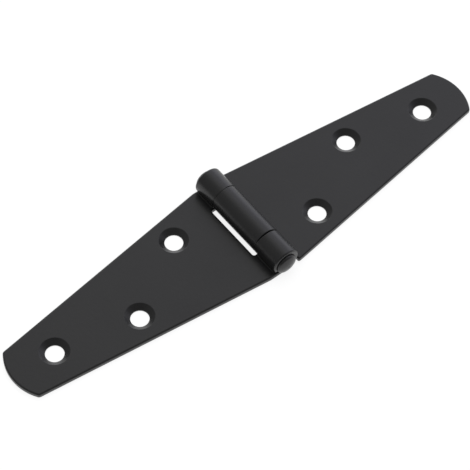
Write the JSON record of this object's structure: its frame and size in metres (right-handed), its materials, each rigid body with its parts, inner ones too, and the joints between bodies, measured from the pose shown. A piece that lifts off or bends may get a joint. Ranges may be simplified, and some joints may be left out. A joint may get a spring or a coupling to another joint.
{
  "type": "gate hinge",
  "caption": "Black strap hinge for a gate or shed door: tapered sheet steel leaves with countersunk screw holes, knuckles curled round a pin with hammered domed ends, free to swing from flat to folded.",
  "frame": {"origin": "middle of the plane of the leaves' backs, straight below the middle of the pin", "axes": "+X along the opened hinge towards the leaf with the centre knuckle, +Y along the pin, +Z out of the countersunk faces"},
  "size_m": [0.15, 0.0362, 0.008],
  "materials": {
    "leaf_coat": "satin black powder coat over sheet steel",
    "pin_coat": "satin black coat over a steel pin"
  },
  "bodies": {
    "fixed_leaf": {"leaf_two_knuckles": "leaf_coat", "hinge_pin": "pin_coat"},
    "swinging_leaf": {"leaf_centre_knuckle": "leaf_coat"}
  },
  "joints": [
    {"name": "leaf_swing", "type": "hinge", "parent": "fixed_leaf", "child": "swinging_leaf", "pos_m": [0, 0, 0.004], "axis": [0, -1, 0], "range_deg": [-90, 180]}
  ]
}
